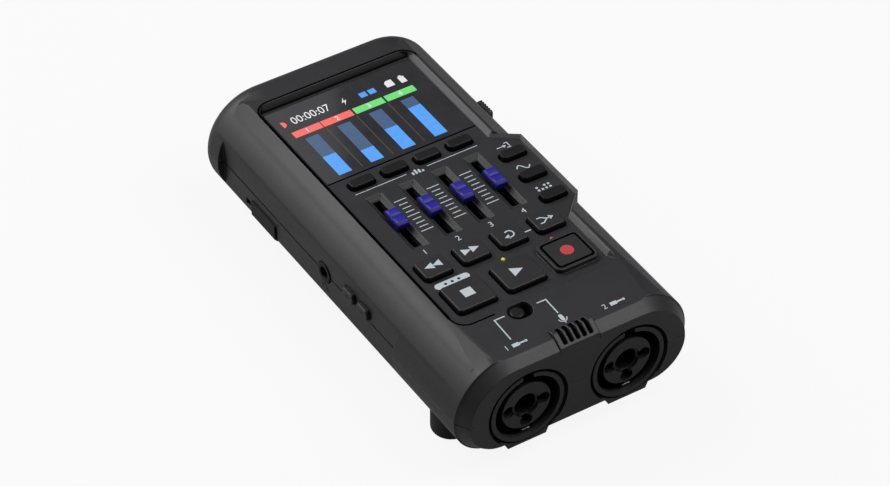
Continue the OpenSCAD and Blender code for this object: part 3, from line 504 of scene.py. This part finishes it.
even_shading(dress("upper_case", CASE))
even_shading(dress("lower_case", CASE))
dress("battery_door", CASE, 0.2)
dress("card_cover", COVER, 0.25)
dress("mic_grille", CASE, 0.12, 2)
for name in MAIN_KEYS:
    dress(name, KEYS, 0.3)
for name in SIDE_CONTROLS:
    dress(name, SIDE_KEYS, 0.3)
for name in ROW_KEYS:
    dress(name, SMALL_KEYS, 0.3)
for i in range(1, 5):
    dress(f"fader_cap_{i}", CAPS, 0.16)
dress("source_knob", SMALL_KEYS, 0.4)
for name in JACK_NODES:
    dress(name, SOCKET, 0.12, 2, joined=False)
dress("headphone_jack", JACK, 0.15, 2)
dress("feet", FEET)
dress("display_lens", GLASS)

# Solids that are shown as they are, with a finish
plain = {
    "lcd_module": STEEL, "main_board": BOARD, "key_board": BOARD, "key_switches": SWITCH,
    "fader_pots": JACK, "source_switch": JACK, "mic_capsule": JACK, "pin_contacts": BRASS,
    "power_switch": SWITCH, "usb_port": METAL, "card_slot": METAL, "cells": WRAP,
    "cell_contacts": METAL, "case_screws": STEEL, "light_pipes": LIGHTS,
    **{f"fader_lever_{i}": METAL for i in range(1, 5)},
}
for name, mat in plain.items():
    solid = frame["nodes"][name]
    solid.data.materials.clear()
    solid.data.materials.append(mat)

# Flat marks: outlines in millimetres, set on a surface as thin closed slabs

# How far a mark stands above its surface and reaches below it
LIFT = 0.02
SINK = 0.01
# Height of a digit as a share of its font size
CAP_HEIGHT = 0.7


def bar(x0, y0, x1, y1):
    return [(x0, y0), (x1, y0), (x1, y1), (x0, y1)]


def turn_points(x, y, r, start, end, steps):
    """Points on a circle from one angle to another, both in degrees and both included."""
    angles = [math.radians(start + (end - start) * i / steps) for i in range(steps + 1)]
    return [(x + r * math.cos(a), y + r * math.sin(a)) for a in angles]


def disc(x, y, r, start=0, end=360, count=36):
    """Points on a circle, without the one at the end of the turn."""
    return turn_points(x, y, r, start, end, count)[:-1]


def arrow(x, y, w, h, way):
    return [(x - way * w / 2, y - h / 2), (x + way * w / 2, y), (x - way * w / 2, y + h / 2)]


def ribbon(points, w):
    """Band of width w along a chain of points, mitred at its corners."""
    left = []
    right = []
    for i, (x, y) in enumerate(points):
        before = Vector(points[max(i - 1, 0)])
        after = Vector(points[min(i + 1, len(points) - 1)])
        here = Vector((x, y))
        pairs = ((before, here), (here, after))
        runs = [(b - a).normalized() for a, b in pairs if (b - a).length > 0]
        mean = (runs[0] + runs[-1]).normalized()
        reach = w / 2 / max(0.4, mean.dot(runs[0]))
        left.append((x - mean.y * reach, y + mean.x * reach))
        right.append((x + mean.y * reach, y - mean.x * reach))
    return left + right[::-1]


def arc(x, y, r, start, end, w, count=20):
    return ribbon(turn_points(x, y, r, start, end, count), w)


def pill(x0, y0, x1, y1):
    """Bar with round ends."""
    r = (y1 - y0) / 2
    ends = [(x1 - r, y0 + r, -90), (x0 + r, y0 + r, 90)]
    return [p for x, y, turn in ends for p in turn_points(x, y, r, turn, turn + 180, 12)]


def ring_halves(x0, y0, x1, y1, r):
    """The outline of a rounded rectangle as two chains of points that meet."""
    corners = (
        (x1 - r, y1 - r, 0), (x0 + r, y1 - r, 90), (x0 + r, y0 + r, 180), (x1 - r, y0 + r, 270),
    )
    around = [p for x, y, turn in corners for p in turn_points(x, y, r, turn, turn + 90, 5)]
    half = len(around) // 2
    return [around[:half + 1], [*around[half:], around[0]]]


def moved(outlines, x, y):
    return [[(x + u, y + v) for u, v in outline] for outline in outlines]


# Surfaces: each turns a flat place u, v and a height h above the surface into a place on the part


def on_top(u, v, h):
    return (u, v, panel_height(v) + h)


def on_rim(u, v, h):
    return (u, v, crest_height(v) + h)


def at_height(z):
    return lambda u, v, h: (u, v, z + h)


def on_left(x):
    return lambda u, v, h: (x - h, -u, v)


def on_right(x):
    return lambda u, v, h: (x + h, u, v)


def on_front(y):
    return lambda u, v, h: (u, y - h, v)


def under(z):
    return lambda u, v, h: (-u, v, z - h)


def show(name, shaped, mat, body):
    """Makes a piece of a bmesh, on a body and with a material slot."""
    bmesh.ops.recalc_face_normals(shaped, faces=shaped.faces)
    mesh = bpy.data.meshes.new(name)
    shaped.to_mesh(mesh)
    shaped.free()
    mesh.materials.append(mat)
    piece = bpy.data.objects.new(name, mesh)
    bpy.context.scene.collection.objects.link(piece)
    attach(piece, body)


def marks(
    name, outlines, mat, surface=on_top, body="case", lift=LIFT, sink=SINK
):
    """Outlines as thin closed slabs that reach from sink below a surface to lift above it."""
    shaped = bmesh.new()
    for outline in outlines:
        base = shaped.faces.new([shaped.verts.new((u, v, -sink)) for u, v in outline])
        raised = bmesh.ops.extrude_face_region(shaped, geom=[base])["geom"]
        tops = [v for v in raised if isinstance(v, bmesh.types.BMVert)]
        bmesh.ops.translate(shaped, verts=tops, vec=(0, 0, lift + sink))
    for v in shaped.verts:
        v.co = Vector(surface(*v.co)) * MM
    show(name, shaped, mat, body)


def digits(
    name, words, mat, height, x, y, surface=on_top, squeeze=1.0, lift=LIFT
):
    """Plain digits as a thin closed mesh, centred on x and y."""
    curve = bpy.data.curves.new(name + "_curve", "FONT")
    curve.body = words
    curve.align_x = "CENTER"
    curve.align_y = "CENTER"
    curve.size = height / CAP_HEIGHT
    curve.extrude = (lift + SINK) / 2
    curve.resolution_u = 5
    maker = bpy.data.objects.new(name + "_maker", curve)
    bpy.context.scene.collection.objects.link(maker)
    bpy.context.view_layer.update()
    made = maker.evaluated_get(bpy.context.evaluated_depsgraph_get())
    mesh = bpy.data.meshes.new_from_object(made)
    bpy.data.objects.remove(maker)
    bpy.data.curves.remove(curve)
    shaped = bmesh.new()
    shaped.from_mesh(mesh)
    bpy.data.meshes.remove(mesh)
    bmesh.ops.remove_doubles(shaped, verts=shaped.verts, dist=1e-4)
    rise = (lift - SINK) / 2
    for v in shaped.verts:
        v.co = Vector(surface(x + squeeze * v.co.x, y + v.co.y, v.co.z + rise)) * MM
    show(name, shaped, mat, "case")


# Printed marks on the panel

for i, x in enumerate(FADER_X):
    digits(f"track_number_{i + 1}", str(i + 1), PRINT, 1.9, x - 0.2, -17.6)

SCALE_REAR_Y = 3.4
SCALE_STEP = 1.7
LONG_TICK = 1.85
SHORT_TICK = 1.3
HALF_TICK_W = 0.14
fader_scales = []
for x in FADER_GAP_X:
    for i in range(9):
        half = LONG_TICK if i in (0, 4, 8) else SHORT_TICK
        y = SCALE_REAR_Y - i * SCALE_STEP
        fader_scales.append(bar(x - half, y - HALF_TICK_W, x + half, y + HALF_TICK_W))
marks("fader_scales", fader_scales, PRINT)

marks("track_line", [bar(-19.1, 11.28, -3.2, 11.52), bar(3.2, 11.28, 19.1, 11.52)], PRINT)
METER_TOPS = (0.2, 0.9, 0.5, -0.2)
METER_ICON = [bar(-1.75 + i, -0.9, -1.15 + i, top) for i, top in enumerate(METER_TOPS)]
marks("track_icon", moved(METER_ICON, -0.1, 11.0), PRINT)

PLUG_IN_ICON = [
    ribbon([(-2.0, 0), (0.0, 0)], 0.3),
    arrow(0.45, 0, 0.9, 1.3, 1),
    ribbon([(0.7, 1.0), (1.7, 1.0), (1.7, -1.0), (0.7, -1.0)], 0.3),
]
WAVE_ICON = [ribbon([(-2 + i / 6, math.sin(i / 12 * math.pi)) for i in range(25)], 0.34)]
BEATS = [(i, v) for i in range(4) for v in (-0.6, 0.6) if (i, v) != (1, 0.6)]
BEAT_ICON = [disc(-1.8 + 1.2 * i, v, 0.38, count=16) for i, v in BEATS]
for name, icon, y in (
    ("input_icon", PLUG_IN_ICON, 7.3),
    ("effect_icon", WAVE_ICON, -2.6),
    ("rhythm_icon", BEAT_ICON, -12.4),
):
    marks(name, moved(icon, MENU_ICON_X, y), PRINT)

marks("option_pill", [pill(-20.8, -32.0, -10.4, -29.7)], PRINT)
option_dots = [disc(-17.6 + 2 * i, LIGHT_ROW_Y, 0.42, count=20) for i in range(3)]
marks("option_dots", option_dots, KEYS, lift=0.035)
BRACKET_W = 0.36
source_brackets = [
    ribbon([(-12.3, -50.5), (-15.4, -50.5), (-15.5, -58.4)], BRACKET_W),
    ribbon([(-2.7, -50.8), (0.0, -50.8), (0.0, -56.6)], BRACKET_W),
]
marks("source_brackets", source_brackets, PRINT)
PLUG_ICON = [
    bar(-2.3, -0.6, -0.3, 0.6),
    bar(-0.3, -0.26, 1.7, 0.26),
    disc(1.75, 0, 0.42, count=18),
]
MIC_ICON = [
    pill(-1.2, -0.55, 1.2, 0.55),
    arc(-0.3, 0, 1.2, 90, 270, 0.26, 14),
    ribbon([(-1.5, 0), (-2.2, 0)], 0.26),
]
for side, number, icon_x, number_x, y in (
    ("left", "1", -14.2, -18.2, -60.6),
    ("right", "2", 15.4, 11.4, -60.9),
):
    marks(f"{side}_input_icon", moved(PLUG_ICON, icon_x, y), PRINT)
    digits(f"{side}_input_number", number, PRINT, 1.7, number_x, y)
turned_mic = [[(-v, u) for u, v in outline] for outline in moved(MIC_ICON, -58.4, 0.1)]
marks("mic_icon", turned_mic, PRINT)

# Marks on the keys

SEEK_Y = -24.4
SEEK_SIZE = (2.6, 2.5)
ICON_ROW_Y = -24.7


def key_marks(key, outlines, mat=PRINT):
    marks(f"{key}_mark", outlines, mat, at_height(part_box(key)[1].z / MM), key)


BACK_ICON = [
    arc(0.1, 0.0, 1.25, -130, 130, 0.38),
    [(-1.75, -0.75), (-0.3, -1.75), (-0.2, -0.05)],
]
JOIN_ICON = [
    ribbon([(-2.3, 1.1), (-1.2, 1.1), (0.2, 0), (1.2, 0)], 0.38),
    ribbon([(-2.3, -1.1), (-1.2, -1.1), (0.1, -0.1)], 0.38),
    arrow(1.6, 0, 1.3, 1.7, 1),
]
key_marks("rewind_key", [arrow(x, SEEK_Y, *SEEK_SIZE, -1) for x in (-18.7, -16.3)])
key_marks("forward_key", [arrow(x, SEEK_Y, *SEEK_SIZE, 1) for x in (-7.1, -4.6)])
key_marks("undo_key", moved(BACK_ICON, 5.8, ICON_ROW_Y))
key_marks("bounce_key", moved(JOIN_ICON, 17.4, ICON_ROW_Y))
marks("key_dash", [bar(10.5, -25.1, 12.5, -24.7)], PRINT)
key_marks("stop_key", [bar(-16.9, -39.3, -13.7, -36.3)])
key_marks("play_key", [arrow(0.0, -37.6, 3.4, 3.4, 1)])
key_marks("record_key", [disc(RECORD_X, -37.9, 1.85, count=48)], RED_DOT)

# Moulded marks on the sides and underneath

phone = middle("headphone_jack")
EAR_ICON = [
    arc(0, -0.2, 1.1, 0, 180, 0.3),
    bar(-1.5, -1.1, -0.8, 0.1),
    bar(0.8, -1.1, 1.5, 0.1),
]
ear_icon = moved(EAR_ICON, -phone.y, phone.z - 5.0)
marks("ear_icon", ear_icon, KEYS, on_left(-SIDE_X), lift=0.06)

MINUS_ICON = [bar(-0.8, -0.17, 0.8, 0.17)]
PLUS_ICON = [*MINUS_ICON, bar(-0.17, 0.17, 0.17, 0.8), bar(-0.17, -0.8, 0.17, -0.17)]
for key, icon in (("volume_up_key", PLUS_ICON), ("volume_down_key", MINUS_ICON)):
    centre = middle(key)
    face = on_left(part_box(key)[0].x / MM)
    marks(
        f"{key}_mark", moved(icon, -centre.y, centre.z), FEET, face, key, 0.03
    )

POWER_ICON = [arc(0, 0, 1.1, 120, 420, 0.32, 28), bar(-0.16, 0.1, 0.16, 1.5)]
power_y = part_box("power_knob")[0].y / MM - 5.5
power_icon = moved(POWER_ICON, power_y, middle("power_knob").z - 1.5)
marks("power_icon", power_icon, KEYS, on_right(SIDE_X), lift=0.05)

door_low, door_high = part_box("battery_door")
door_y = door_high.y / MM - 9
door_arrow = [[(-2.2, door_y), (2.2, door_y), (0, door_y + 3)]]
marks("door_arrow", door_arrow, KEYS, under(door_low.z / MM), "battery_door", lift=0.08)

# Metal ground tabs under the inserts, and black slabs behind the grille


def slab(name, centre, size, mat, tilt=0.0):
    """Small block with rounded edges, set by its centre and turned about X."""
    shaped = bmesh.new()
    bmesh.ops.create_cube(shaped, size=1.0)
    bmesh.ops.scale(shaped, vec=[v * MM for v in size], verts=shaped.verts)
    bmesh.ops.bevel(
        shaped, geom=shaped.edges[:], offset=0.1 * MM, segments=2,
        profile=0.5, affect="EDGES", material=-1,
    )
    turn = Matrix.Rotation(tilt, 3, "X")
    bmesh.ops.rotate(shaped, cent=(0, 0, 0), matrix=turn, verts=shaped.verts)
    bmesh.ops.translate(shaped, vec=[v * MM for v in centre], verts=shaped.verts)
    show(name, shaped, mat, "case")


for side, x in JACKS:
    tab_centre = (x + 0.4, -64.6, JACK_Z - 9.0)
    slab(f"ground_tab_{side}", tab_centre, (2.4, 1.6, 0.5), METAL)
band_turn = math.atan2(BAND_RISE, BAND_RUN)
slab("grille_black_slope", (0, -64.43, 32.87), (10.2, 3.2, 0.6), BLACK, band_turn)
slab("grille_black_top", (0, -62.5, 33.3), (10.2, 1.8, 0.6), BLACK)

# Painted shade as a dark line along the left, front-left and rear edges of the sunken panel and as
# a dark band on the wall behind the window, and a dark gap line in front of the window


def bend(x, y, start, end):
    """Points round a corner of the panel's edge line."""
    return turn_points(x, y, CORNER_R, start, end, 8)


left_line = [(-EDGE_X, CORNER_REAR_Y), (-EDGE_X, RAMP_Y), (-EDGE_X, CORNER_FRONT_Y)]
front_line = [*bend(-CORNER_X, CORNER_FRONT_Y, 180, 270), (-14.0, CORNER_FRONT_Y - CORNER_R)]
rear_line = [
    *bend(-CORNER_X, CORNER_REAR_Y, 180, 90),
    *bend(CORNER_X, CORNER_REAR_Y, 90, 0),
]
# Painted shade on the rim along the panel's edge, only on the sides that lie in shade
marks("edge_shade_left", [ribbon(left_line, 0.8)], BLACK, on_rim)
marks("edge_shade_front", [ribbon(front_line, 0.5)], BLACK, on_rim)
marks("edge_shade_rear", [ribbon(rear_line, 0.6)], BLACK, on_rim)
# Painted shade: a dark band standing against the wall behind the window
marks("rear_wall_shade", [bar(-23.0, 53.55, 23.0, 54.3)], JACK, lift=0.9, sink=0.05)
marks("window_gap", [bar(-23.2, 18.4, 23.2, 18.88)], BLACK, lift=0.03)

# The dark line where the halves of the case meet, and painted shade on the edges of the sockets'
# openings, round all but their bottom

SEAM_LEFT = [(-56.0, -7.3), (-0.1, 6.2), (20.4, 50.0)]
SEAM_RIGHT = [(-50.0, 1.2), (10.8, 56.0)]
HALF_SEAM_W = 0.17
SOCKET_SHADE_R = 11.85
for name, runs, surface in (
    ("seam_left", SEAM_LEFT, on_left(-SIDE_X)),
    ("seam_right", SEAM_RIGHT, on_right(SIDE_X)),
):
    seam = [bar(a, SEAM_Z - HALF_SEAM_W, b, SEAM_Z + HALF_SEAM_W) for a, b in runs]
    marks(name, seam, BLACK, surface)
# Painted shade round each socket's opening
for side, x in JACKS:
    edge = turn_points(x, JACK_Z, SOCKET_SHADE_R, -40, 225, 53)
    marks(f"socket_shade_{side}", [ribbon(edge, 0.4)], BLACK, on_front(FRONT_Y))

# Painted shade in the gaps round the keys. The record key has a painted shade line on its face
# instead

GAP_REACH = 0.3
# Painted shade: a black outline on the panel round each key
gap_shade_lines = []
for name in (*MAIN_KEYS, *ROW_KEYS):
    if name == "record_key":
        continue
    points = [v.co for v in frame["nodes"][name].data.vertices]
    shown = [p / MM for p in points if p.z > (FLOOR + 0.1) * MM]
    x0 = min(p.x for p in shown) - GAP_REACH
    y0 = min(p.y for p in shown) - GAP_REACH
    x1 = max(p.x for p in shown) + GAP_REACH
    y1 = max(p.y for p in shown) + GAP_REACH
    gap_shade_lines += [ribbon(half, 0.44) for half in ring_halves(x0, y0, x1, y1, 1.3)]
marks("key_gap_shade", gap_shade_lines, BLACK, sink=0.04)

key_top = at_height(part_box("record_key")[1].z / MM)
# Painted shade: a dark line round the edge of the record key's face
frame_shade_line = [ribbon(half, 0.7) for half in ring_halves(9.8, -42.8, 20.6, -33.2, 1.1)]
marks("record_frame_shade", frame_shade_line, BLACK, key_top, "record_key")

# The rounded lenses of the two lights, and the bright heart of the play light

DOME_Z = 33.05
HEART_Z = 33.36
DOME_SIZE = (0.53, 0.4)
HEART_SIZE = (0.28, 0.14)


def dome(name, x, z, size, mat):
    """Small rounded lens in the row of the lights, centred at z. Its size is radius and height."""
    radius, height = size
    shaped = bmesh.new()
    bmesh.ops.create_uvsphere(shaped, u_segments=24, v_segments=12, radius=1.0)
    for v in shaped.verts:
        across, along, up = v.co
        spot = (x + across * radius, LIGHT_ROW_Y + along * radius, z + up * height)
        v.co = Vector(spot) * MM
    show(name, shaped, mat, "case")


dome("play_light_dome", 0, DOME_Z, DOME_SIZE, LIGHTS)
dome("record_light_dome", RECORD_X, DOME_Z, DOME_SIZE, LIGHTS)
dome("play_light_heart", 0, HEART_Z, HEART_SIZE, LIGHT_CORE)

# The screen's picture

SCREEN = at_height(FLOOR)
HEADS = [
    (-20.4, -11.75, RED_LIT),
    (-11.45, -1.95, RED_LIT),
    (-1.3, 8.05, GREEN_LIT),
    (8.7, 18.0, GREEN_LIT),
]
HEAD_LOW = 39.95
HEAD_HIGH = 42.5
HEAD_NUMBER_Y = 41.2
BARS = [(-18.5, 29.3), (-8.5, 26.25), (1.5, 30.3), (11.6, 34.5)]
BAR_W = 4.0
BAR_FOOT = 20.6
BAR_TOP = 38.4
LINE_X = (-11.3, -1.7, 8.3)
LINE_TOP = 39.4
HALF_LINE_W = 0.13
STATUS_Y = 46.5
BOLT = [(-1.0, 48.0), (-2.3, 46.1), (-1.4, 46.3), (-1.9, 44.8), (-0.6, 46.8), (-1.5, 46.6)]
CARD = [(11.7, 45.1), (14.2, 45.1), (14.2, 47.8), (12.5, 47.8), (11.7, 47.0)]


def picture(name, outlines, mat):
    marks(name, outlines, mat, SCREEN, "case")


for i, (x0, x1, mat) in enumerate(HEADS):
    number = str(i + 1)
    picture(f"screen_head_{number}", [bar(x0, HEAD_LOW, x1, HEAD_HIGH)], mat)
    digits(
        f"screen_number_{number}", number, WHITE_LIT, 1.7, (x0 + x1) / 2, HEAD_NUMBER_Y, SCREEN,
        lift=0.04,
    )
levels = [bar(x, BAR_FOOT, x + BAR_W, top) for x, top in BARS]
level_tracks = [bar(x, top + 0.05, x + BAR_W, BAR_TOP) for x, top in BARS]
dividers = [bar(x - HALF_LINE_W, BAR_FOOT, x + HALF_LINE_W, LINE_TOP) for x in LINE_X]
picture("screen_levels", levels, BLUE_LIT)
picture("screen_level_tracks", level_tracks, DIM_BLUE)
picture("screen_lines", dividers, FAINT_LIT)
digits(
    "screen_counter", "00:00:07", WHITE_LIT, 2.9, -12.0, STATUS_Y, SCREEN,
    squeeze=0.84,
)
picture("screen_record", [disc(-20.9, STATUS_Y, 1.25, -90, 105, 18)], RED_LIT)
picture("screen_bolt", [BOLT], WHITE_LIT)
picture("screen_squares", [bar(3.4, 45.1, 5.5, 47.1), bar(6.2, 45.1, 8.3, 47.1)], BLUE_LIT)
picture("screen_card", [CARD], WHITE_LIT)
picture("screen_cell", [bar(16.1, 44.7, 17.9, 47.4), bar(16.6, 47.4, 17.4, 47.9)], WHITE_LIT)

# Camera, light and floor

TARGET = Vector((-9.25, -17.34, 33.0)) * MM
EYE = Vector((-395.05, -626.91, 673.94)) * MM
AIM = (0, 0, 0.03)
WORLD_LIGHT = 0.10
WORLD_SEEN = 0.85
GROUND_SIZE = 4.0
GROUND_DROP_MM = 0.02

camera = bpy.data.cameras.new("camera")
camera.sensor_width = 36.0
camera.lens = 149.8
camera.clip_start = 0.01
viewer = bpy.data.objects.new("camera", camera)
viewer.location = EYE
viewer.rotation_euler = (TARGET - EYE).to_track_quat("-Z", "Y").to_euler()
bpy.context.scene.collection.objects.link(viewer)
bpy.context.scene.camera = viewer


def lamp(name, place, aim, power, width, height):
    """Rectangular light at a place in metres, turned to face aim."""
    light = bpy.data.lights.new(name, "AREA")
    light.shape = "RECTANGLE"
    light.size = width
    light.size_y = height
    light.energy = power
    holder = bpy.data.objects.new(name, light)
    holder.location = place
    holder.rotation_euler = (Vector(aim) - Vector(place)).to_track_quat("-Z", "Y").to_euler()
    bpy.context.scene.collection.objects.link(holder)


lamp("rear_left_softbox", (-0.42, 0.68, 0.74), AIM, 15.0, 0.8, 0.7)
lamp("overhead_front", (0.38, -0.30, 0.80), AIM, 9.0, 0.60, 0.60)
lamp("low_left_strip", (-0.80, 0.71, 0.20), AIM, 1.6, 0.50, 0.25)
lamp("rear_glow", (0.336, 0.93, 0.795), (0, 0.05, 0.03), 0.20, 0.30, 0.30)

# A dim world that the camera itself sees as nearly white
world = bpy.data.worlds.new("studio")
world.use_nodes = True
backdrop = world.node_tree.nodes["Background"]
backdrop.inputs["Color"].default_value = (1, 1, 1, 1)
seen = node(world.node_tree, "ShaderNodeLightPath")
glow = node(world.node_tree, "ShaderNodeMath", operation="MULTIPLY_ADD")
glow.inputs[1].default_value = WORLD_SEEN
glow.inputs[2].default_value = WORLD_LIGHT
world.node_tree.links.new(seen.outputs["Is Camera Ray"], glow.inputs[0])
world.node_tree.links.new(glow.outputs["Value"], backdrop.inputs["Strength"])
bpy.context.scene.world = world

ground = bmesh.new()
bmesh.ops.create_grid(ground, x_segments=1, y_segments=1, size=GROUND_SIZE)
bmesh.ops.translate(ground, vec=(0, 0, -GROUND_DROP_MM * MM), verts=ground.verts)
floor_mesh = bpy.data.meshes.new("floor")
ground.to_mesh(floor_mesh)
ground.free()


def floor_finish():
    """Pale floor that is seen nearly white and still carries the shadow."""
    near, far = (0.32, 0.32, 0.32), (0.1, 0.1, 0.1)
    seen_share, mirrored_share = 0.90, 0.15
    mat, tree, shader, place = finish("pale_floor", near, 0.8, specular=0.2)
    reach = node(tree, "ShaderNodeVectorMath", operation="LENGTH")
    tree.links.new(place, reach.inputs[0])
    falloff = node(tree, "ShaderNodeMapRange")
    falloff.inputs["From Min"].default_value = 0.12
    falloff.inputs["From Max"].default_value = 0.5
    tree.links.new(reach.outputs["Value"], falloff.inputs["Value"])
    tree.links.new(tint(tree, falloff.outputs["Result"], near, far), shader.inputs["Base Color"])
    white = node(tree, "ShaderNodeEmission")
    white.inputs["Strength"].default_value = 1.0
    path = node(tree, "ShaderNodeLightPath")
    mirrored = node(tree, "ShaderNodeMath", operation="MAXIMUM")
    tree.links.new(path.outputs["Is Glossy Ray"], mirrored.inputs[0])
    tree.links.new(path.outputs["Is Transmission Ray"], mirrored.inputs[1])
    part = node(tree, "ShaderNodeMath", operation="MULTIPLY")
    part.inputs[1].default_value = mirrored_share
    tree.links.new(mirrored.outputs["Value"], part.inputs[0])
    share = node(tree, "ShaderNodeMath", operation="MULTIPLY_ADD")
    share.inputs[1].default_value = seen_share
    tree.links.new(path.outputs["Is Camera Ray"], share.inputs[0])
    tree.links.new(part.outputs["Value"], share.inputs[2])
    both = node(tree, "ShaderNodeMixShader")
    tree.links.new(share.outputs["Value"], both.inputs["Fac"])
    tree.links.new(shader.outputs["BSDF"], both.inputs[1])
    tree.links.new(white.outputs["Emission"], both.inputs[2])
    tree.links.new(both.outputs["Shader"], tree.nodes["Material Output"].inputs["Surface"])
    return mat


floor_mesh.materials.append(floor_finish())
floor = bpy.data.objects.new("floor", floor_mesh)
bpy.context.scene.collection.objects.link(floor)

bpy.context.scene.view_settings.view_transform = "Standard"
